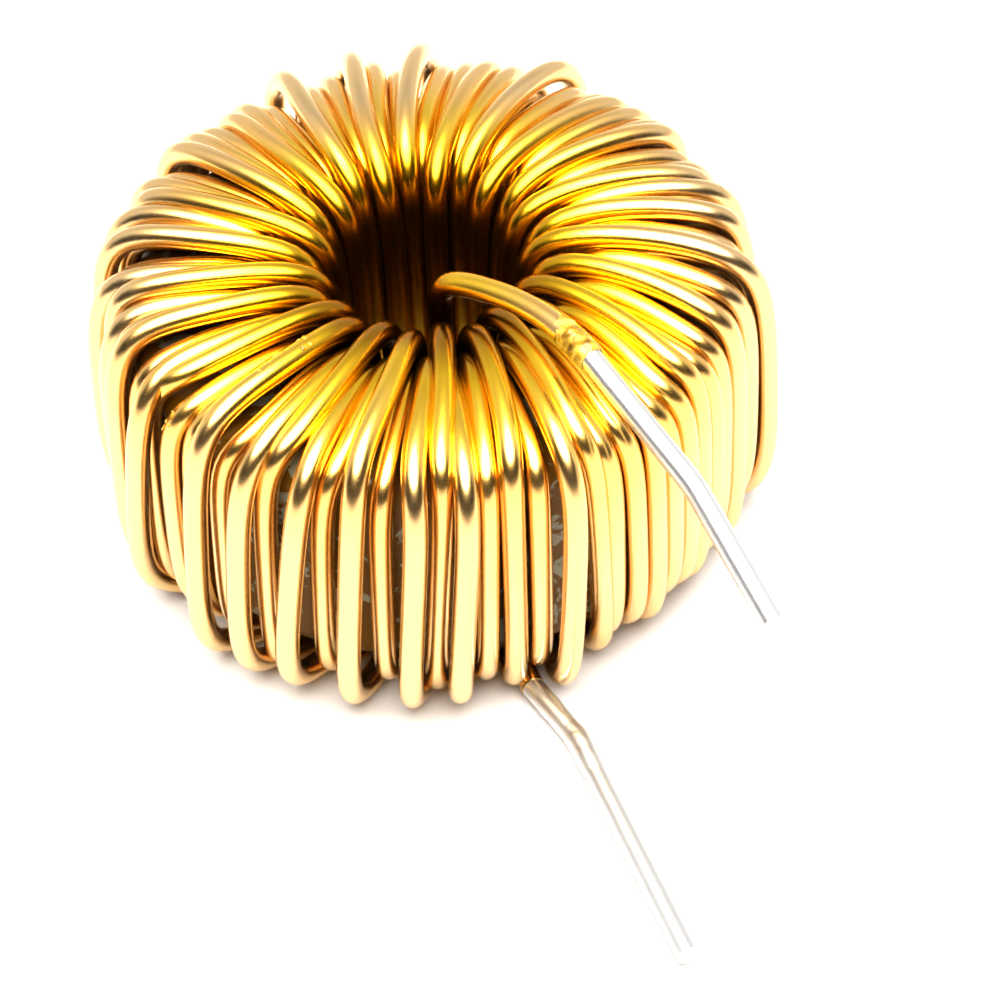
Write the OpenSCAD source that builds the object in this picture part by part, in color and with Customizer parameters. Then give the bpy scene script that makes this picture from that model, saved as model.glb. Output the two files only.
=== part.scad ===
// Toroidal inductor: one length of enamelled copper wire wound round a powdered iron ring,
// with both ends of the wire stripped and tinned as solder leads.
// The ring's axis is Z, the coil rests on Z = 0 and the leads point to the front, towards -Y.

/* [Core] */
// Outer diameter of the ring
core_od = 26.9; // [22:0.1:40]
// Inner diameter of the ring
core_id = 14.5; // [12:0.1:22]
// Height of the ring
core_h = 11.1; // [8:0.1:20]
// Radius on the ring's edges
core_edge = 1.2; // [0.5:0.1:1.8]

/* [Wire] */
// Diameter of the wire over its enamel
wire_d = 1.1; // [0.7:0.05:1.35]
// Diameter of the stripped and tinned ends
tinned_d = 1.04; // [0.6:0.02:1.3]
// Space that the winding leaves between the wire and the ring
wire_gap = 0.05; // [0.02:0.01:0.2]
// How far the turns bow up from the top of the ring
top_bow = 0.35; // [0:0.05:0.8]

/* [Leads] */
// Length of the upper lead from its bend to its tip
upper_tip = 6.8; // [4:0.2:20]
// Length of the lower lead from its bend to its tip
lower_tip = 12.6; // [4:0.2:20]
// How far past its bend each lead's round rod begins
past_bend = 0.3; // [0.2:0.1:1]

/* [Hidden] */

core_ro = core_od / 2;
core_ri = core_id / 2;
half_wire = wire_d / 2;
lie = half_wire + wire_gap;

// Turns lie in groups of three: against the ring in the bore, in the grooves of
// those, and in the grooves of the second ones.
layers = 3;
spacing = 1.02 * wire_d;
bore_depth = 2.25 * wire_d;
fit_outside = floor(PI * (core_od + wire_d) / spacing / layers);
fit_inside = floor(2 * PI * (core_ri - bore_depth) / spacing);
turns = layers * min(fit_outside, fit_inside);
step = 360 / turns;
first_azimuth = 274.6;
bore_lead = 3;
wall_lean = 0.15 * step;

// A wire's round corner is drawn with two straight cuts, and this much of its radius
// is left from the corner to each cut
cut = 1 - tan(22.5);
tight_corner = core_edge + lie;
corner_radius = [tight_corner, 2.5 * wire_d, 2.6 * wire_d];

// Rise of a wire that lies in the groove between two wires, each x to one side of it
function nest(x) = sqrt(max(0, wire_d * wire_d - x * x));
function arc(degrees_wide, r) = degrees_wide * PI / 180 * r;
function groove(r, out) = arc((layers / 2 - (layers - 2) / 2 * out) * step, r);

// 0 at the bore's wall, 1 at the outer wall
function outward(r) = min(1, max(0, (r - core_ri) / (core_ro - core_ri)));

// Height of a wire's centre line over the ring's flat face at radius r
function second_height(r) = lie + nest(groove(r, outward(r)));
function third_height(r) =
    max(second_height(r) + nest(groove(r, outward(r))), lie + nest(arc(outward(r) * step, r)));
function height(k, r) =
    k % layers == 0 ? lie : k % layers == 1 ? second_height(r) : third_height(r);

// Radius of a wire's centre line down the bore. The third layer is slack, and every
// other wire of it stands further in. The wire's free end stands clear of them all.
third_slack = 0.32 * wire_d;
third_stagger = 0.45 * wire_d;
second_bore = core_ri - lie - nest(groove(core_ri - lie - half_wire, 0));
third_bore = second_bore - nest(groove(second_bore - half_wire, 0)) - third_slack;
free_bore = third_bore - third_stagger - 0.95 * wire_d;
bore_radius = [core_ri - lie, second_bore, third_bore];
function bore_r(k) =
    k == turns ? free_bore : bore_radius[k % layers] - (k % layers == 2 ? k % 2 * third_stagger : 0);
function bend(k) = corner_radius[k == turns ? layers - 1 : k % layers];

// Where the ring's flat face begins. The winding is this deep above and below the ring there.
mouth_r = core_ri + core_edge;
crown_r = (core_ri + core_ro) / 2;
deepest = third_height(mouth_r);
core_z = deepest + half_wire;
top_z = core_z + core_h;
mid_z = core_z + core_h / 2;

// Unevenness of a coil wound by hand, the same for every build
function chance(k, j) = let (v = sin(k * 127.1 + j * 311.7) * 43758.5453) v - floor(v);
function jig(k, j) = 2 * chance(k, j) - 1;

// Looseness at an azimuth: none at the front right, most at the left
function apart(a, b) = abs((a - b + 540) % 360 - 180);
function swell(a, b, w) = apart(a, b) >= w ? 0 : 0.5 + 0.5 * cos(180 * apart(a, b) / w);
tight_side = 308;
loose_side = 205;
function loose(a) = (1 - sqrt(swell(a, tight_side, 44))) * (1 + 0.3 * swell(a, loose_side, 70));

// Turns that stand out from the rest, as turn, share of a wire that it stands off the
// outer wall, lift over the top, and degrees moved at the top and at the bottom
STRAYS = [
    [0, 1.0, 0.1, 2.1, -2.3],
    [1, 0.1, 0.0, 1.1, -1.6],
    [2, 0.2, 0.0, 0.7, -1.0],
    [3, 0.1, 0.0, 0.9, -0.7],
    [4, 1.0, 0.1, 1.6, -2.3],
    [5, 0.0, 0.0, 2.5, 3.1],
    [6, 0.0, 0.0, 1.6, 0.6],
    [17, 1.0, 0.2, 1.2, -1.0],
    [22, 0.8, 0.2, 1.0, -1.0],
    [27, 0.8, 0.2, 1.0, -1.0],
    [32, 0.9, 0.2, -1.0, -1.0],
    [38, 0.9, 0.4, -1.0, -1.0],
    [41, 0.9, 0.2, 1.0, -1.0],
    [44, 0.9, 0.2, 1.0, -1.0],
    [49, 0.8, 0.2, -1.0, -1.0],
    [54, 0.9, 0.3, 1.4, -1.0],
    [64, 0.9, 0.2, 3.7, -3.2],
    [65, 0.1, 0.0, -4.4, -7.8],
    [66, 0.2, 0.0, -1.0, -3.4],
    [67, 0.0, 0.0, -0.1, -3.0],
    [68, 1.0, 0.1, 0.8, -2.9],
    [69, 0.0, 0.0, -2.4, -5.8],
    [70, 1.0, 0.1, 0.5, -3.4],
    [71, 0.1, 0.0, -1.6, -5.0],
    [72, 1.0, 0.1, 1.8, -4.0],
    [73, 0.0, 0.0, -0.2, -3.6],
    [74, 1.0, 0.1, 2.1, -2.4],
    [75, 0.1, 0.0, 1.0, -1.4],
    [76, 1.0, 0.1, 3.1, -1.3],
    [77, 0.0, 0.0, 3.0, -1.7]
];
function stray(k) = let (hit = search(k, STRAYS)) len(hit) > 0 ? STRAYS[hit[0]] : undef;

// Every other turn rides on its neighbours where the winding is loose. It leans more
// than they do, and the turns are pushed forward a little past the leads. At the back
// all the turns hang slack.
function raised(k) = k % 2 == 0 ? 1 : 0;
function pushed(a) = 2 * swell(a, 318, 45);
function slack(k) = 0.45 * swell(turn_azimuth(k), 95, 100);
function stand_off(k) =
    let (s = stray(k), loose_here = loose(turn_azimuth(k)))
    s != undef ? s[1] : loose_here * (raised(k) == 1 ? 0.35 + 0.3 * chance(k, 3) : 0.2 * chance(k, 3));
function lift(k) = let (s = stray(k)) s != undef ? s[2] : 0.15 * chance(k, 9);
function top_move(k) =
    let (s = stray(k), a = turn_azimuth(k))
    s != undef ? s[3]
        : pushed(a) + 0.1 * jig(k, 4) + loose(a) * (0.4 * jig(k, 5) + 0.4 + 0.6 * raised(k));
function bottom_move(k) =
    let (s = stray(k), a = turn_azimuth(k))
    s != undef ? s[4]
        : pushed(a) + 0.1 * jig(k, 6) + loose(a) * (0.4 * jig(k, 7) - 0.5 - 0.8 * raised(k));

function turn_azimuth(k) = first_azimuth + k * step;

// At the shoulder over the outer wall the turns are spread evenly. At the front they
// lie ahead of their places on the wall, and behind them at the front right.
function fan(a) = 1.7 * swell(a, 262, 70) - 2.2 * swell(a, 318, 30);
function shoulder_azimuth(k) =
    let (a = turn_azimuth(k)) a + fan(a) + 0.45 * loose(a) * jig(k, 2);
function bore_azimuth(k) =
    k == turns ? 284 + 360 : turn_azimuth(k) + (k % layers) / 2 * step + bore_lead;
function top_azimuth(k) = turn_azimuth(k) - wall_lean + top_move(k);
function bottom_azimuth(k) = turn_azimuth(k) + wall_lean + bottom_move(k);

function at(r, azimuth, z) = [r * cos(azimuth), r * sin(azimuth), z];
function mix(a, b, share) = a + (b - a) * share;

// Raised turns bulge at the foot of the outer wall
function foot_r(k) = core_ro + lie + slack(k) + 1.4 * stand_off(k) * wire_d;

// One turn from the middle of the bore's wall, over the top and down the outer wall
function over_top(k) =
    let (
        out = stand_off(k),
        inner_r = bore_r(k),
        outer_r = core_ro + lie + slack(k) + out * wire_d,
        outer_bend = tight_corner + slack(k) + out * wire_d,
        bow = top_bow + slack(k) + lift(k),
        inner_top = top_z + height(k, mouth_r) + bow,
        shoulder_r = outer_r - cut * outer_bend,
        lip = inner_r + cut * bend(k),
        outer_top = top_z + height(k, min(shoulder_r, core_ro - core_edge)) + slack(k) + out * 0.7 * wire_d,
        crown = top_z + height(k, crown_r) + bow + 0.3 * out * wire_d,
        crown_share = (crown_r - lip) / (shoulder_r - lip),
        from = bore_azimuth(k),
        over = shoulder_azimuth(k),
        to = top_azimuth(k)
    )
    [
        at(inner_r, from, mid_z),
        at(inner_r, from, inner_top - cut * bend(k)),
        at(lip, from, inner_top),
        at(crown_r, mix(from, over, crown_share), max(crown, mix(inner_top, outer_top, 0.5))),
        at(shoulder_r, over, outer_top),
        at(outer_r, to, outer_top - cut * outer_bend),
        at(mix(outer_r, foot_r(k), 0.6), mix(to, bottom_azimuth(k), 0.5), mid_z)
    ];

// The rest of that turn, under the ring and back to the bore beside the turn before
function under_ring(k) =
    let (
        out = stand_off(k),
        outer_r = foot_r(k),
        outer_bend = tight_corner + out * wire_d,
        shoulder_r = outer_r - cut * outer_bend,
        shoulder_drop = height(k, min(shoulder_r, core_ro - core_edge)) + out * 0.7 * wire_d,
        shoulder_z = core_z - min(deepest, shoulder_drop),
        next = k + 1,
        next_drop = next == turns ? deepest : height(next, mouth_r),
        inner_r = bore_r(next),
        lip = inner_r + cut * bend(next),
        lip_z = core_z - next_drop,
        crown_drop = max(height(k, crown_r), next == turns ? deepest : height(next, crown_r)),
        crown_share = (shoulder_r - crown_r) / (shoulder_r - lip),
        from = bottom_azimuth(k),
        to = bore_azimuth(next)
    )
    [
        at(outer_r, from, shoulder_z + cut * outer_bend),
        at(shoulder_r, from, shoulder_z),
        at(crown_r, mix(from, to, crown_share), min(core_z - crown_drop, mix(lip_z, shoulder_z, 0.5))),
        at(lip, to, lip_z),
        at(inner_r, to, lip_z + cut * bend(next))
    ];

// Lower lead: from under the front of the coil to a bend, then out over the surface
lower_z = half_wire + 0.1;
lower_start = at(core_ro + 0.6, 286.6, lower_z);
lower_bend = at(core_ro + 4.3, 289.6, lower_z);
lower_way = unit([0.315, -0.949, 0]);
lower_rod = lower_bend + past_bend * lower_way;
lower_end = lower_bend + lower_tip * lower_way;

// Upper lead: up out of the bore, over the lip and down to the front right
lead_top = top_z + deepest + top_bow + 1.25 * wire_d;
upper_start = at(core_ro - 1.6, 305.5, lead_top + 0.3);
upper_bend = at(core_ro + 5.2, 305.8, lead_top - 2.1);
upper_way = unit([0.42, -0.84, -0.35]);
upper_rod = upper_bend + past_bend * upper_way;
upper_end = upper_bend + upper_tip * upper_way;

function unit(v) = v / norm(v);

// The stripped stretches before the bends belong to the same swept wire
START = [
    lower_rod,
    lower_bend,
    lower_start,
    at(core_ro - 1.8, 286.6, lower_z),
    at(crown_r, 282.5, lower_z),
    at(bore_r(0) + cut * bend(0), bore_azimuth(0), core_z - lie),
    at(bore_r(0), bore_azimuth(0), core_z - lie + cut * bend(0))
];
FINISH = [
    at(free_bore, 284, mid_z),
    at(free_bore, 281, top_z - 0.8),
    at(free_bore + 0.3, 279, lead_top - 1.2),
    at(core_ri - 3.2, 289, lead_top - 0.3),
    at(core_ri - 1.4, 300, lead_top + 0.1),
    at(core_ri + 0.6, 305, lead_top + 0.4),
    at(core_ri + 2.6, 306, lead_top + 0.45),
    upper_start,
    upper_bend,
    upper_rod
];

wire_path = concat(
    START,
    [for (k = [0:turns - 1]) each concat(over_top(k), under_ring(k))],
    FINISH
);

// A wire of so many sides swept along its path. At each point the section stands on
// the line that halves the bend, and is stretched there to keep the wire's thickness.
sides = 6;
rod_facets = 48;
most_stretch = 0.7;
function tangent(path, i) =
    let (last = len(path) - 1)
    unit(unit(path[min(last, i + 1)] - path[i == last ? last - 1 : i])
        + unit(path[i == 0 ? 1 : i] - path[max(0, i - 1)]));
function bend_stretch(path, i) =
    i == 0 || i == len(path) - 1 ? 1
        : 1 / max(most_stretch, tangent(path, i) * unit(path[i + 1] - path[i]));
function ring(path, i, r) =
    let (
        p = path[i],
        t = tangent(path, i),
        round = unit([-p.y, p.x, 0]),
        across = unit(round - (round * t) * t),
        out = cross(across, t) * bend_stretch(path, i)
    )
    [
        for (s = [0:sides - 1])
            let (a = (s + 0.5) * 360 / sides)
            p + r * (cos(a) * across + sin(a) * out)
    ];

module sweep_wire(path, r) {
    rings = len(path);
    points = [for (i = [0:rings - 1]) each ring(path, i, r)];
    walls = [
        for (i = [0:rings - 2])
            for (s = [0:sides - 1])
                let (a = i * sides + s, b = i * sides + (s + 1) % sides)
                each [[a, b, b + sides], [a, b + sides, a + sides]]
    ];
    start_cap = [for (s = [sides - 1:-1:0]) s];
    end_cap = [for (s = [0:sides - 1]) (rings - 1) * sides + s];
    polyhedron(points, concat(walls, [start_cap, end_cap]), convexity = 20);
}

// A straight round rod from one point to another
module rod(from, to, d) {
    way = to - from;
    tilt = acos(way.z / norm(way));
    turn = atan2(way.y, way.x);
    translate(from)
        rotate([0, tilt, turn])
            cylinder(d = d, h = norm(way), $fn = rod_facets);
}

// What an edge's rounding takes off a square corner that lies at the origin
module edge_cut() {
    difference() {
        translate([-core_edge, -core_edge]) square(2 * core_edge);
        translate([core_edge, core_edge]) circle(r = core_edge, $fn = rod_facets);
    }
}

module core() {
    color("olive")
        translate([0, 0, core_z])
            rotate_extrude($fn = 180)
                difference() {
                    translate([core_ri, 0]) square([core_ro - core_ri, core_h]);
                    for (x = [0, 1], y = [0, 1])
                        translate([x == 0 ? core_ri : core_ro, y == 0 ? 0 : core_h])
                            mirror([x, 0])
                                mirror([0, y])
                                    edge_cut();
                }
}

module winding() {
    color("goldenrod") sweep_wire(wire_path, half_wire);
}

module upper_lead() {
    color("silver") rod(upper_rod, upper_end, tinned_d);
}

module lower_lead() {
    color("silver") rod(lower_rod, lower_end, tinned_d);
}

core();
winding();
upper_lead();
lower_lead();
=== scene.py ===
# Toroidal inductor: a fine round wire in place of the winding's coarse solid, the painted ring,
# the tinned leads with their burnt enamel, a pale floor and soft studio light.
import math

import bmesh
import bpy
from mathutils import Matrix, Vector, noise


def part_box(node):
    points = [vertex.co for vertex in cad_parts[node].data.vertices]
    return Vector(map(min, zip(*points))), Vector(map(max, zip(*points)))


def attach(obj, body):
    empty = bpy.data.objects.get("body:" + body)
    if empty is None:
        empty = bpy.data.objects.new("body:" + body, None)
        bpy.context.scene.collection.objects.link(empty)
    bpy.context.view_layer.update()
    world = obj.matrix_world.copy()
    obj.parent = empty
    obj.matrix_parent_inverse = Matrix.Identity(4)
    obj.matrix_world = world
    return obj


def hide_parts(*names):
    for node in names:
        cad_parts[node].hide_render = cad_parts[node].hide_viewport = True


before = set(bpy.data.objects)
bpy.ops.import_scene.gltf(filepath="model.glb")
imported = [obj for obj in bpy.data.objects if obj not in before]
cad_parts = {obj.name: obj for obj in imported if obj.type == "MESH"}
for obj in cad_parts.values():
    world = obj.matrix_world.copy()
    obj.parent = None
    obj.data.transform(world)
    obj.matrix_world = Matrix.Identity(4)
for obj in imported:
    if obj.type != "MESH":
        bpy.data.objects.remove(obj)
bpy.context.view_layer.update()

MM = 0.001

# ---------------------------------------------------------------- sizes, in millimetres
core_low, core_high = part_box("core")
CORE_RO = core_high[0] / MM
CORE_RI = 7.25
CORE_H = (core_high[2] - core_low[2]) / MM
CORE_EDGE = 1.2
WIRE_D = 1.1
TINNED_D = 1.04
WIRE_GAP = 0.05
TOP_BOW = 0.35
UPPER_TIP = 6.8
LOWER_TIP = 12.6

# Turns lie in groups of three: against the ring in the bore, in the grooves of those, and in
# the grooves of the second ones.
LAYERS = 3
SPACING = 1.02 * WIRE_D
BORE_DEPTH = 2.25 * WIRE_D
FIT_OUTSIDE = math.floor(math.pi * (2 * CORE_RO + WIRE_D) / SPACING / LAYERS)
FIT_INSIDE = math.floor(2 * math.pi * (CORE_RI - BORE_DEPTH) / SPACING)
TURNS = LAYERS * min(FIT_OUTSIDE, FIT_INSIDE)
STEP = 360 / TURNS
FIRST_AZIMUTH = 274.6
FREE_AZIMUTH = 284
BORE_LEAD = 3
WALL_LEAN = 0.15 * STEP
HALF_WIRE = WIRE_D / 2

# A rounded corner's two points lie this share of its radius from where its sides would meet
CUT = 1 - math.tan(math.radians(22.5))

# How far the middle of a wire that lies on the ring is from the ring, and the bends by layer
LIE = HALF_WIRE + WIRE_GAP
TIGHT_CORNER = CORE_EDGE + LIE
CORNER_RADIUS = [TIGHT_CORNER, 2.5 * WIRE_D, 2.6 * WIRE_D]

# Turns that stand out from the rest: turn, share of a wire that it stands off the outer wall,
# lift over the top, and degrees moved at the top and at the bottom
STRAYS = {
    0: (1.0, 0.1, 2.1, -2.3),
    1: (0.1, 0.0, 1.1, -1.6),
    2: (0.2, 0.0, 0.7, -1.0),
    3: (0.1, 0.0, 0.9, -0.7),
    4: (1.0, 0.1, 1.6, -2.3),
    5: (0.0, 0.0, 2.5, 3.1),
    6: (0.0, 0.0, 1.6, 0.6),
    17: (1.0, 0.2, 1.2, -1.0),
    22: (0.8, 0.2, 1.0, -1.0),
    27: (0.8, 0.2, 1.0, -1.0),
    32: (0.9, 0.2, -1.0, -1.0),
    38: (0.9, 0.4, -1.0, -1.0),
    41: (0.9, 0.2, 1.0, -1.0),
    44: (0.9, 0.2, 1.0, -1.0),
    49: (0.8, 0.2, -1.0, -1.0),
    54: (0.9, 0.3, 1.4, -1.0),
    64: (0.9, 0.2, 3.7, -3.2),
    65: (0.1, 0.0, -4.4, -7.8),
    66: (0.2, 0.0, -1.0, -3.4),
    67: (0.0, 0.0, -0.1, -3.0),
    68: (1.0, 0.1, 0.8, -2.9),
    69: (0.0, 0.0, -2.4, -5.8),
    70: (1.0, 0.1, 0.5, -3.4),
    71: (0.1, 0.0, -1.6, -5.0),
    72: (1.0, 0.1, 1.8, -4.0),
    73: (0.0, 0.0, -0.2, -3.6),
    74: (1.0, 0.1, 2.1, -2.4),
    75: (0.1, 0.0, 1.0, -1.4),
    76: (1.0, 0.1, 3.1, -1.3),
    77: (0.0, 0.0, 3.0, -1.7),
}


# ---------------------------------------------------------------- the wire's route, turn by turn
def sind(a):
    return math.sin(math.radians(a))


def cosd(a):
    return math.cos(math.radians(a))


def at(r, azimuth, z):
    return Vector((r * cosd(azimuth), r * sind(azimuth), z))


def mix(a, b, share):
    return a + (b - a) * share


def nest(x):
    """Rise of a wire that lies in the groove between two wires, each x to one side of it."""
    return math.sqrt(max(0, WIRE_D * WIRE_D - x * x))


def arc(degrees_wide, r):
    return math.radians(degrees_wide) * r


def groove(r, out):
    return arc((LAYERS / 2 - (LAYERS - 2) / 2 * out) * STEP, r)


def outward(r):
    """0 at the bore's wall, 1 at the outer wall."""
    return min(1, max(0, (r - CORE_RI) / (CORE_RO - CORE_RI)))


def second_height(r):
    return LIE + nest(groove(r, outward(r)))


def third_height(r):
    return max(second_height(r) + nest(groove(r, outward(r))), LIE + nest(arc(outward(r) * STEP, r)))


def height(k, r):
    """Height of turn k's centre line over the ring's flat face at radius r."""
    return (LIE, second_height(r), third_height(r))[k % LAYERS]


THIRD_SLACK = 0.32 * WIRE_D
THIRD_STAGGER = 0.45 * WIRE_D
SECOND_BORE = CORE_RI - LIE - nest(groove(CORE_RI - LIE - HALF_WIRE, 0))
THIRD_BORE = SECOND_BORE - nest(groove(SECOND_BORE - HALF_WIRE, 0)) - THIRD_SLACK
FREE_BORE = THIRD_BORE - THIRD_STAGGER - 0.95 * WIRE_D
BORE_RADIUS = [CORE_RI - LIE, SECOND_BORE, THIRD_BORE]

# Radii of the bore's mouth and of the ring's middle, and heights over the coil's underside
MOUTH_R = CORE_RI + CORE_EDGE
CROWN_R = (CORE_RI + CORE_RO) / 2
DEEPEST = third_height(MOUTH_R)
CORE_Z = DEEPEST + HALF_WIRE
TOP_Z = CORE_Z + CORE_H
MID_Z = CORE_Z + CORE_H / 2


def bore_r(k):
    if k == TURNS:
        return FREE_BORE
    return BORE_RADIUS[k % LAYERS] - (k % 2 * THIRD_STAGGER if k % LAYERS == 2 else 0)


def bend(k):
    return CORNER_RADIUS[LAYERS - 1 if k == TURNS else k % LAYERS]


def chance(k, j):
    """Unevenness of a coil wound by hand, the same for every run."""
    v = sind(k * 127.1 + j * 311.7) * 43758.5453
    return v - math.floor(v)


def jig(k, j):
    return 2 * chance(k, j) - 1


def apart(a, b):
    return abs((a - b + 540) % 360 - 180)


def swell(a, b, w):
    return 0 if apart(a, b) >= w else 0.5 + 0.5 * cosd(180 * apart(a, b) / w)


def loose(a):
    """Looseness at an azimuth: none at the front right, most at the left."""
    return (1 - math.sqrt(swell(a, 308, 44))) * (1 + 0.3 * swell(a, 205, 70))


def turn_azimuth(k):
    return FIRST_AZIMUTH + k * STEP


def raised(k):
    """Every other turn rides on its neighbours where the winding is loose."""
    return 1 if k % 2 == 0 else 0


def pushed(a):
    return 2 * swell(a, 318, 45)


def slack(k):
    """At the back all the turns hang slack."""
    return 0.45 * swell(turn_azimuth(k), 95, 100)


def stand_off(k):
    if k in STRAYS:
        return STRAYS[k][0]
    return loose(turn_azimuth(k)) * (0.35 + 0.3 * chance(k, 3) if raised(k) else 0.2 * chance(k, 3))


def lift(k):
    return STRAYS[k][1] if k in STRAYS else 0.15 * chance(k, 9)


def top_move(k):
    if k in STRAYS:
        return STRAYS[k][2]
    a = turn_azimuth(k)
    return pushed(a) + 0.1 * jig(k, 4) + loose(a) * (0.4 * jig(k, 5) + 0.4 + 0.6 * raised(k))


def bottom_move(k):
    if k in STRAYS:
        return STRAYS[k][3]
    a = turn_azimuth(k)
    return pushed(a) + 0.1 * jig(k, 6) + loose(a) * (0.4 * jig(k, 7) - 0.5 - 0.8 * raised(k))


def fan(a):
    """How far the turns lie ahead of their places on the wall where they cross its shoulder."""
    return 1.7 * swell(a, 262, 70) - 2.2 * swell(a, 318, 30)


def shoulder_azimuth(k):
    a = turn_azimuth(k)
    return a + fan(a) + 0.45 * loose(a) * jig(k, 2)


def bore_azimuth(k):
    if k == TURNS:
        return FREE_AZIMUTH + 360
    return turn_azimuth(k) + (k % LAYERS) / 2 * STEP + BORE_LEAD


def top_azimuth(k):
    return turn_azimuth(k) - WALL_LEAN + top_move(k)


def bottom_azimuth(k):
    return turn_azimuth(k) + WALL_LEAN + bottom_move(k)


def foot_r(k):
    """Raised turns bulge at the foot of the outer wall."""
    return CORE_RO + LIE + slack(k) + 1.4 * stand_off(k) * WIRE_D


def over_top(k):
    """One turn from the middle of the bore's wall, over the top and down the outer wall."""
    out = stand_off(k)
    inner_r = bore_r(k)
    outer_r = CORE_RO + LIE + slack(k) + out * WIRE_D
    outer_bend = TIGHT_CORNER + slack(k) + out * WIRE_D
    bow = TOP_BOW + slack(k) + lift(k)
    inner_top = TOP_Z + height(k, MOUTH_R) + bow
    shoulder_r = outer_r - CUT * outer_bend
    lip = inner_r + CUT * bend(k)
    outer_top = TOP_Z + height(k, min(shoulder_r, CORE_RO - CORE_EDGE)) + slack(k) + out * 0.7 * WIRE_D
    crown = TOP_Z + height(k, CROWN_R) + bow + 0.3 * out * WIRE_D
    crown_azimuth = mix(bore_azimuth(k), shoulder_azimuth(k), (CROWN_R - lip) / (shoulder_r - lip))
    return [
        at(inner_r, bore_azimuth(k), MID_Z),
        at(inner_r, bore_azimuth(k), inner_top - CUT * bend(k)),
        at(lip, bore_azimuth(k), inner_top),
        at(CROWN_R, crown_azimuth, max(crown, mix(inner_top, outer_top, 0.5))),
        at(shoulder_r, shoulder_azimuth(k), outer_top),
        at(outer_r, top_azimuth(k), outer_top - CUT * outer_bend),
        at(mix(outer_r, foot_r(k), 0.6), mix(top_azimuth(k), bottom_azimuth(k), 0.5), MID_Z),
    ]


def under_ring(k):
    """The rest of that turn, under the ring and back to the bore beside the turn before."""
    out = stand_off(k)
    after = k + 1
    last = after == TURNS
    outer_r = foot_r(k)
    outer_bend = TIGHT_CORNER + out * WIRE_D
    shoulder_r = outer_r - CUT * outer_bend
    shoulder_drop = height(k, min(shoulder_r, CORE_RO - CORE_EDGE)) + out * 0.7 * WIRE_D
    shoulder_z = CORE_Z - min(DEEPEST, shoulder_drop)
    inner_r = bore_r(after)
    lip = inner_r + CUT * bend(after)
    lip_z = CORE_Z - (DEEPEST if last else height(after, MOUTH_R))
    crown_drop = max(height(k, CROWN_R), DEEPEST if last else height(after, CROWN_R))
    crown_z = min(CORE_Z - crown_drop, mix(lip_z, shoulder_z, 0.5))
    start = bottom_azimuth(k)
    end = bore_azimuth(after)
    return [
        at(outer_r, start, shoulder_z + CUT * outer_bend),
        at(shoulder_r, start, shoulder_z),
        at(CROWN_R, mix(start, end, (shoulder_r - CROWN_R) / (shoulder_r - lip)), crown_z),
        at(lip, end, lip_z),
        at(inner_r, end, lip_z + CUT * bend(after)),
    ]


# Where the enamel ends on each lead, its bend and its tip, and the last point of the arch in
# enamel that comes before the upper one
LOWER_Z = HALF_WIRE + 0.1
LOWER_START = at(CORE_RO + 0.6, 286.6, LOWER_Z)
LOWER_BEND = at(CORE_RO + 4.3, 289.6, LOWER_Z)
LOWER_END = LOWER_BEND + LOWER_TIP * Vector((0.315, -0.949, 0)).normalized()
LEAD_TOP = TOP_Z + DEEPEST + TOP_BOW + 1.25 * WIRE_D
ARCH_END = at(CORE_RI + 2.6, 306, LEAD_TOP + 0.45)
UPPER_START = at(CORE_RO - 1.6, 305.5, LEAD_TOP + 0.3)
UPPER_BEND = at(CORE_RO + 5.2, 305.8, LEAD_TOP - 2.1)
UPPER_END = UPPER_BEND + UPPER_TIP * Vector((0.42, -0.84, -0.35)).normalized()


def lead_route(start, middle, end):
    """A stripped end: straight, with one soft bend."""
    return [start, mix(start, middle, 0.5), mix(start, middle, 0.85), middle,
            mix(middle, end, 0.15), mix(middle, end, 0.5), end]


def wire_route():
    """The route of the enamelled wire, from under the coil to where it is stripped above it."""
    route = [
        LOWER_START,
        at(CORE_RO - 1.8, 286.6, LOWER_Z),
        at(CROWN_R, 282.5, LOWER_Z),
        at(bore_r(0) + CUT * bend(0), bore_azimuth(0), CORE_Z - LIE),
        at(bore_r(0), bore_azimuth(0), CORE_Z - LIE + CUT * bend(0)),
    ]
    for k in range(TURNS):
        route += over_top(k) + under_ring(k)
    route += [
        at(FREE_BORE, FREE_AZIMUTH, MID_Z),
        at(FREE_BORE, 281, TOP_Z - 0.8),
        at(FREE_BORE + 0.3, 279, LEAD_TOP - 1.2),
        at(CORE_RI - 3.2, 289, LEAD_TOP - 0.3),
        at(CORE_RI - 1.4, 300, LEAD_TOP + 0.1),
        at(CORE_RI + 0.6, 305, LEAD_TOP + 0.4),
        ARCH_END,
        UPPER_START,
    ]
    return route


# ---------------------------------------------------------------- shapes
def keep(obj, slot_name, *nodes):
    """Puts a piece on the part's one body, in place of the solids it redraws."""
    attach(obj, "root")
    if nodes:
        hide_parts(*nodes)


def wire_curve(name, route, diameter, thickness=None, steps=5, rounds=5, order=4):
    """A round wire along a smooth curve that the route's points draw."""
    data = bpy.data.curves.new(name, type="CURVE")
    data.dimensions = "3D"
    data.resolution_u = steps
    data.render_resolution_u = steps
    data.bevel_depth = diameter / 2 * MM
    data.bevel_resolution = rounds
    data.use_fill_caps = True
    data.twist_mode = "MINIMUM"
    spline = data.splines.new("NURBS")
    spline.points.add(len(route) - 1)
    for i, (point, place) in enumerate(zip(spline.points, route)):
        point.co = (*(place * MM), 1)
        point.radius = thickness[i] if thickness else 1
    spline.order_u = order
    spline.use_endpoint_u = True
    obj = bpy.data.objects.new(name, data)
    bpy.context.collection.objects.link(obj)
    return obj


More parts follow.
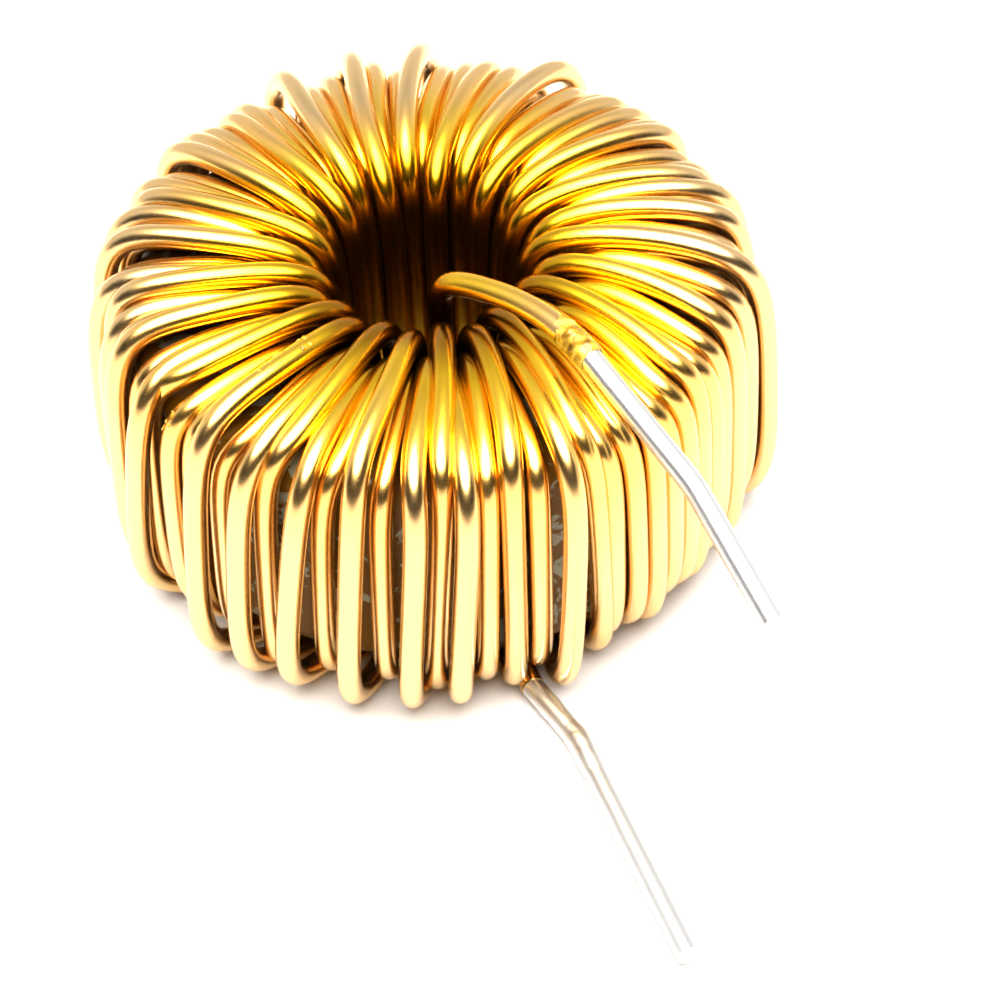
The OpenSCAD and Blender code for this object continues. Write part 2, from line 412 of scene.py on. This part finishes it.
def as_mesh(obj):
    """The curve's own shape as a smooth mesh, under the same name."""
    name = obj.name
    graph = bpy.context.evaluated_depsgraph_get()
    mesh = bpy.data.meshes.new_from_object(obj.evaluated_get(graph))
    bpy.data.objects.remove(obj)
    solid = bpy.data.objects.new(name, mesh)
    bpy.context.collection.objects.link(solid)
    for face in mesh.polygons:
        face.use_smooth = True
    return solid


# The collar's places along the wire from where the enamel ends, in millimetres, and its
# thickness there as a share of the wire's; then the same shares for the solder's drop
COLLAR_STEPS = (-2.3, -2.0, -1.6, -1.2, -0.8, -0.4, 0.0, 0.2)
COLLAR_THICKNESS = (0.85, 1.05, 1.08, 1.14, 1.10, 1.20, 1.16, 0.95)
DROP_THICKNESS = (0.9, 1.06, 1.14, 1.08, 0.9)

# The height that crumbs fall from, clear of the part, and where they lie, as azimuth, radius, how
# far they spread round it, and their number
CRUMB_FALL = 30
CRUMB_PATCHES = ((227, 9.4, 0.8, 10), (231, 8.8, 0.7, 8), (236, 11.0, 1.2, 4), (217, 14.2, 0.4, 9))


def roughen(obj, depth, grain):
    """Lumps as deep as depth, in millimetres, so that a piece doesn't look machined."""
    for vertex in obj.data.vertices:
        lump = noise.noise(vertex.co / MM * grain) + 0.5 * noise.noise(vertex.co / MM * grain * 2.7)
        vertex.co += vertex.normal * lump * depth * MM


def scatter(name, ground, patches):
    """Small flattened crumbs that lie on the wires, each about a fifth of a millimetre across."""
    heap = bmesh.new()
    count = 0
    for azimuth, radius, spread, number in patches:
        for i in range(number):
            count += 1
            spot = at(radius, azimuth, CRUMB_FALL) + Vector((jig(count, 21), jig(count, 22), 0)) * spread
            hit, place, normal, _ = ground.ray_cast(spot * MM, (0, 0, -1))
            if not hit:
                continue
            size = (0.06 + 0.12 * chance(count, 23)) * MM
            turn = normal.to_track_quat("Z", "Y").to_matrix().to_4x4()
            shape = Matrix.Diagonal((1, 0.5 + 0.5 * chance(count, 24), 0.45, 1))
            bmesh.ops.create_icosphere(heap, subdivisions=1, radius=size,
                                       matrix=Matrix.Translation(place) @ turn @ shape)
    mesh = bpy.data.meshes.new(name)
    heap.to_mesh(mesh)
    heap.free()
    obj = bpy.data.objects.new(name, mesh)
    bpy.context.collection.objects.link(obj)
    return obj


# ---------------------------------------------------------------- materials
def linear(hex_colour):
    """An sRGB colour such as E3B23C as linear red, green, blue and alpha."""
    values = [int(hex_colour[i:i + 2], 16) / 255 for i in (0, 2, 4)]
    return [v / 12.92 if v <= 0.04045 else ((v + 0.055) / 1.055) ** 2.4 for v in values] + [1]


def new_material(name):
    material = bpy.data.materials.new(name)
    material.use_nodes = True
    material.node_tree.nodes.clear()
    return material


def add(tree, kind, settings=None, **inputs):
    """A node with its settings and its inputs; an input is a value or another node's output.

    An input goes by its socket's name, with _ for a space, or by its place, as i0 or i1.
    """
    node = tree.nodes.new(kind)
    for key, value in (settings or {}).items():
        setattr(node, key, value)
    for key, value in inputs.items():
        by_place = key[0] == "i" and key[1:].isdigit()
        socket = node.inputs[int(key[1:]) if by_place else key.replace("_", " ")]
        if isinstance(value, bpy.types.NodeSocket):
            tree.links.new(value, socket)
        else:
            socket.default_value = value
    return node


def band(tree, value, start, end, low, high, kind="SMOOTHSTEP"):
    """A soft step from low to high as the value goes from start to end."""
    step = add(tree, "ShaderNodeMapRange", {"interpolation_type": kind}, Value=value)
    step.inputs["From Min"].default_value = start
    step.inputs["From Max"].default_value = end
    step.inputs["To Min"].default_value = low
    step.inputs["To Max"].default_value = high
    return step.outputs["Result"]


def times(tree, a, b):
    return add(tree, "ShaderNodeMath", {"operation": "MULTIPLY"}, i0=a, i1=b).outputs["Value"]


def plus(tree, a, b):
    return add(tree, "ShaderNodeMath", {"operation": "ADD"}, i0=a, i1=b).outputs["Value"]


def ramp(tree, value, colours):
    """The colour that goes with a value from 0 to 1, between the places that colours lists."""
    node = add(tree, "ShaderNodeValToRGB", Fac=value)
    stops = node.color_ramp.elements
    (stops[0].position, first), *between, (stops[1].position, last) = colours
    stops[0].color = linear(first)
    stops[1].color = linear(last)
    for position, colour in between:
        stops.new(position).color = linear(colour)
    return node.outputs["Color"]


def show(tree, shader):
    """Puts a shader on the surface of the tree's material."""
    out = add(tree, "ShaderNodeOutputMaterial")
    tree.links.new(shader.outputs["BSDF"], out.inputs["Surface"])


# Amber enamel from the bore's wall out to the outer wall: its own gold in the middle, painted shade as
# dark brown in the bore, and a painted reflection of the bright floor as pale cream toward the outer wall
ENAMEL_TONES_WITH_PAINTED_LIGHT = (
    (0.0, "5E3208"),
    (0.22, "A87A12"),
    (0.42, "EBC22C"),
    (0.62, "F5D052"),
    (0.80, "EFC67C"),
    (0.95, "E6C898"),
)

# Melted enamel, from its brown clouds to its clear yellow
BURNT_TONES = ((0.35, "4E3208"), (0.48, "9A7618"), (0.66, "D8BE5A"))


def enamelled_copper():
    """Copper wire under amber polyurethane enamel: a golden metal with a glassy coat.

    The enamel is deeper yellow over the top. Its paler tone on the outer wall is a painted reflection of
    the bright floor, it is painted paler toward the back where the far side catches more light, and the
    brown down the bore is painted shade.
    The free end that arches out of the bore keeps its yellow.
    """
    material = new_material("enamelled_copper")
    tree = material.node_tree
    place = add(tree, "ShaderNodeTexCoord").outputs["Object"]
    flat = add(tree, "ShaderNodeVectorMath", {"operation": "MULTIPLY"}, i0=place, i1=(1, 1, 0))
    reach = add(tree, "ShaderNodeVectorMath", {"operation": "LENGTH"}, i0=flat.outputs["Vector"])
    split = add(tree, "ShaderNodeSeparateXYZ", Vector=place)
    # The tone follows the distance from the axis, and what shifts it is in millimetres of that: deeper
    # near the top of the wall, so that the lower wall is paler as a painted reflection of the bright
    # floor; paler toward the back, as painted light for the far side that catches more of it; yellow along
    # the arch, which keeps the free end out of the bore's painted shade; with slow clouds about 7 mm
    # across.
    painted_deeper_top = band(tree, split.outputs["Z"], 5 * MM, 13 * MM, 0, -1.3 * MM)
    # Painted light: paler toward the back, where the far rim and the far inner wall catch more light
    painted_paler_back = band(tree, split.outputs["Y"], -8 * MM, 1 * MM, 0, 2.8 * MM)
    arch_low = (LEAD_TOP - HALF_WIRE - 0.4) * MM
    arch = band(tree, split.outputs["Z"], arch_low, (LEAD_TOP + 0.2) * MM, 0, 5 * MM, "LINEAR")
    cloud = add(tree, "ShaderNodeTexNoise", Vector=place, Scale=140.0, Detail=3.0, Roughness=0.6)
    drift = band(tree, cloud.outputs["Fac"], 0, 1, -1.2 * MM, 1.2 * MM, "LINEAR")
    reach_and_painted_light = plus(tree, reach.outputs["Value"], plus(tree, painted_deeper_top, painted_paler_back))
    spread = plus(tree, plus(tree, reach_and_painted_light, arch), drift)
    share = band(tree, spread, 3 * MM, 15.2 * MM, 0, 1, "LINEAR")
    # The ramp's dark brown in the bore is painted shade, and its pale cream on the outer wall is a painted
    # reflection of the floor
    tone = ramp(tree, share, ENAMEL_TONES_WITH_PAINTED_LIGHT)
    # Fine die marks, about 0.4 mm apart, too shallow to feel
    marks = add(tree, "ShaderNodeTexNoise", Vector=place, Scale=2600.0, Detail=2.0, Roughness=0.5)
    bump = add(tree, "ShaderNodeBump", Height=marks.outputs["Fac"], Strength=0.06, Distance=0.00002)
    shader = add(tree, "ShaderNodeBsdfPrincipled", Base_Color=tone, Normal=bump.outputs["Normal"])
    shader.inputs["Metallic"].default_value = 1.0
    shader.inputs["Roughness"].default_value = 0.26
    shader.inputs["Coat Weight"].default_value = 0.25
    shader.inputs["Coat Roughness"].default_value = 0.1
    shader.inputs["Coat Tint"].default_value = linear("FFEFC4")
    show(tree, shader)
    return material


def core_paint():
    """Thin olive-yellow paint on pressed iron powder, with ragged pale grey overspray."""
    material = new_material("core_paint")
    tree = material.node_tree
    place = add(tree, "ShaderNodeTexCoord").outputs["Object"]
    # Spray flecks about 2 mm across with ragged edges
    patches = add(tree, "ShaderNodeTexNoise", Vector=place, Scale=560.0, Detail=7.0, Roughness=0.7,
                  Distortion=0.8)
    edge = band(tree, patches.outputs["Fac"], 0.54, 0.56, 0, 1, "LINEAR")
    tone = add(tree, "ShaderNodeMix", {"data_type": "RGBA"}, i0=edge)
    tone.inputs[6].default_value = linear("6A4808")
    tone.inputs[7].default_value = linear("8E8A74")
    shader = add(tree, "ShaderNodeBsdfPrincipled")
    shader.inputs["Roughness"].default_value = 0.4
    shader.inputs["Specular IOR Level"].default_value = 0.2
    tree.links.new(tone.outputs[2], shader.inputs["Base Color"])
    show(tree, shader)
    return material


def burnt_enamel():
    """Enamel that melted and set again at the stripped end: glassy amber with brown clouds."""
    material = new_material("burnt_enamel")
    tree = material.node_tree
    place = add(tree, "ShaderNodeTexCoord").outputs["Object"]
    clouds = add(tree, "ShaderNodeTexNoise", Vector=place, Scale=1300.0, Detail=4.0, Roughness=0.6)
    tone = ramp(tree, clouds.outputs["Fac"], BURNT_TONES)
    shader = add(tree, "ShaderNodeBsdfPrincipled", Base_Color=tone)
    shader.inputs["Roughness"].default_value = 0.18
    shader.inputs["IOR"].default_value = 1.5
    show(tree, shader)
    return material


def tinned_copper():
    """Copper dipped in solder: a bright, slightly uneven silver skin."""
    material = new_material("tinned_copper")
    tree = material.node_tree
    place = add(tree, "ShaderNodeTexCoord").outputs["Object"]
    waves = add(tree, "ShaderNodeTexNoise", Vector=place, Scale=900.0, Detail=3.0, Roughness=0.55)
    bump = add(tree, "ShaderNodeBump", Height=waves.outputs["Fac"], Strength=0.25, Distance=0.00005)
    shader = add(tree, "ShaderNodeBsdfPrincipled")
    shader.inputs["Base Color"].default_value = linear("DADAD8")
    shader.inputs["Metallic"].default_value = 1.0
    shader.inputs["Roughness"].default_value = 0.38
    tree.links.new(bump.outputs["Normal"], shader.inputs["Normal"])
    show(tree, shader)
    return material


def floor_white():
    """A matt white card under the part."""
    material = new_material("floor_white")
    tree = material.node_tree
    shader = add(tree, "ShaderNodeBsdfPrincipled")
    shader.inputs["Base Color"].default_value = linear("CCC8C4")
    shader.inputs["Roughness"].default_value = 0.6
    show(tree, shader)
    return material


def dress(obj, material):
    """The one material that a piece shows."""
    obj.data.materials.clear()
    obj.data.materials.append(material)


# ---------------------------------------------------------------- camera and light
# The lens is set so that a millimetre at the target is DOTS_PER_MM dots of a frame that is
# FRAME_WIDTH dots wide.
CAMERA_ELEVATION = 45.2
CAMERA_DISTANCE = 150
CAMERA_ROLL = -2.33
FRAME_WIDTH = 1000
DOTS_PER_MM = 21.725
SENSOR_WIDTH = 36
CAMERA_LENS = CAMERA_DISTANCE * DOTS_PER_MM / FRAME_WIDTH * SENSOR_WIDTH
CAMERA_TARGET = (3.151, -6.239, 8.042)


def make_camera():
    """Looks down on the coil from the front, from 15 cm away."""
    data = bpy.data.cameras.new("camera")
    data.lens = CAMERA_LENS
    data.sensor_width = SENSOR_WIDTH
    data.clip_start = MM
    camera = bpy.data.objects.new("camera", data)
    bpy.context.collection.objects.link(camera)
    forward = Vector((0, cosd(CAMERA_ELEVATION), -sind(CAMERA_ELEVATION)))
    right = Vector((1, 0, 0))
    up = right.cross(forward)
    rolled_right = cosd(CAMERA_ROLL) * right + sind(CAMERA_ROLL) * up
    rolled_up = -sind(CAMERA_ROLL) * right + cosd(CAMERA_ROLL) * up
    across, along, rise = CAMERA_TARGET
    target = Vector((0, 0, rise)) + across * rolled_right + along * rolled_up
    turn = Matrix((rolled_right, rolled_up, -forward)).transposed()
    camera.matrix_world = Matrix.Translation((target - CAMERA_DISTANCE * forward) * MM) @ turn.to_4x4()
    bpy.context.scene.camera = camera


def make_light(name, place, aim, size, power):
    """A square softbox that faces what it's aimed at."""
    data = bpy.data.lights.new(name, "AREA")
    data.shape = "SQUARE"
    data.size = size * MM
    data.energy = power
    light = bpy.data.objects.new(name, data)
    bpy.context.collection.objects.link(light)
    light.location = Vector(place) * MM
    light.rotation_euler = (Vector(aim) - Vector(place)).to_track_quat("-Z", "Y").to_euler()


# How bright the tent's walls, its back and its roof are, and how far the roof leans to the front
TENT_LIGHT = 0.95
BACK_LIGHT = 0.66
ROOF_LIGHT = 11.0
ROOF_TILT = 17


def make_world():
    """A white studio tent: very bright overhead and a little to the front, with its opening to a
    dark room low at the front, and a dimmer back wall above the table's edge."""
    world = bpy.data.worlds.new("studio")
    world.use_nodes = True
    bpy.context.scene.world = world
    tree = world.node_tree
    tree.nodes.clear()
    way = add(tree, "ShaderNodeTexCoord").outputs["Generated"]
    split = add(tree, "ShaderNodeSeparateXYZ", Vector=way)
    opening = times(tree, band(tree, split.outputs["Y"], -0.3, 0.2, 1, 0),
                    band(tree, split.outputs["Z"], sind(40), sind(52), 1, 0))
    back = times(tree, band(tree, split.outputs["Y"], 0.3, 0.7, 0, 1),
                 times(tree, band(tree, split.outputs["Z"], sind(24), sind(38), 0, 1),
                       band(tree, split.outputs["Z"], sind(56), sind(70), 1, 0)))
    walls = add(tree, "ShaderNodeMix", {"data_type": "RGBA"}, i0=opening)
    walls.inputs[6].default_value = linear("FFFFFF")
    walls.inputs[7].default_value = linear("160B09")
    dimmed = band(tree, back, 0, 1, TENT_LIGHT, BACK_LIGHT, "LINEAR")
    roof_way = (0, -sind(ROOF_TILT), cosd(ROOF_TILT))
    overhead = add(tree, "ShaderNodeVectorMath", {"operation": "DOT_PRODUCT"}, i0=way, i1=roof_way)
    roof = band(tree, overhead.outputs["Value"], cosd(42), cosd(18), 0, ROOF_LIGHT)
    total = plus(tree, dimmed, roof)
    background = add(tree, "ShaderNodeBackground", Color=walls.outputs[2], Strength=total)
    out = add(tree, "ShaderNodeOutputWorld")
    tree.links.new(background.outputs["Background"], out.inputs["Surface"])


make_camera()
make_world()

# ---------------------------------------------------------------- the pieces
wire = as_mesh(wire_curve("enamelled_wire", wire_route(), WIRE_D))
keep(wire, "enamelled_wire", "winding")
dress(wire, enamelled_copper())

tinned = tinned_copper()
upper = as_mesh(wire_curve("upper_tinned_lead", lead_route(UPPER_START, UPPER_BEND, UPPER_END), TINNED_D))
keep(upper, "tinned_wire", "upper_lead")
dress(upper, tinned)
lower = as_mesh(wire_curve("lower_tinned_lead", lead_route(LOWER_START, LOWER_BEND, LOWER_END), TINNED_D))
keep(lower, "tinned_wire", "lower_lead")
dress(lower, tinned)

dress(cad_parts["core"], core_paint())

# Burnt enamel left in a lumpy collar where the upper end was stripped
burnt = burnt_enamel()
along = (UPPER_START - ARCH_END).normalized()
collar = as_mesh(wire_curve("burnt_collar", [UPPER_START + along * step for step in COLLAR_STEPS],
                            WIRE_D, COLLAR_THICKNESS, steps=8, rounds=8, order=3))
roughen(collar, 0.09, 2.2)
keep(collar, "enamelled_wire")
dress(collar, burnt)

# Crumbs of the same burnt enamel, fallen on the turns at the left of the front
crumbs = scatter("enamel_crumbs", wire, CRUMB_PATCHES)
keep(crumbs, "enamelled_wire")
dress(crumbs, burnt)

# Solder that ran thick at the lower end's bend
drop_route = [
    mix(LOWER_START, LOWER_BEND, 0.7),
    mix(LOWER_START, LOWER_BEND, 0.9),
    LOWER_BEND,
    mix(LOWER_BEND, LOWER_END, 0.12),
    mix(LOWER_BEND, LOWER_END, 0.22),
]
drop = as_mesh(wire_curve("solder_drop", drop_route, TINNED_D, DROP_THICKNESS, steps=8, rounds=8, order=3))
roughen(drop, 0.03, 1.6)
keep(drop, "tinned_wire")
dress(drop, tinned)

# ---------------------------------------------------------------- the studio
plate = bmesh.new()
bmesh.ops.create_grid(plate, x_segments=1, y_segments=1, size=600 * MM)
floor_mesh = bpy.data.meshes.new("floor")
plate.to_mesh(floor_mesh)
plate.free()
floor = bpy.data.objects.new("floor", floor_mesh)
bpy.context.collection.objects.link(floor)
dress(floor, floor_white())

make_light("top_softbox", (-30, -20, 300), (0, 0, 8), 200, 0.1)

scene = bpy.context.scene
scene.view_settings.view_transform = "Standard"
scene.view_settings.exposure = 0.1
scene.view_settings.gamma = 0.85
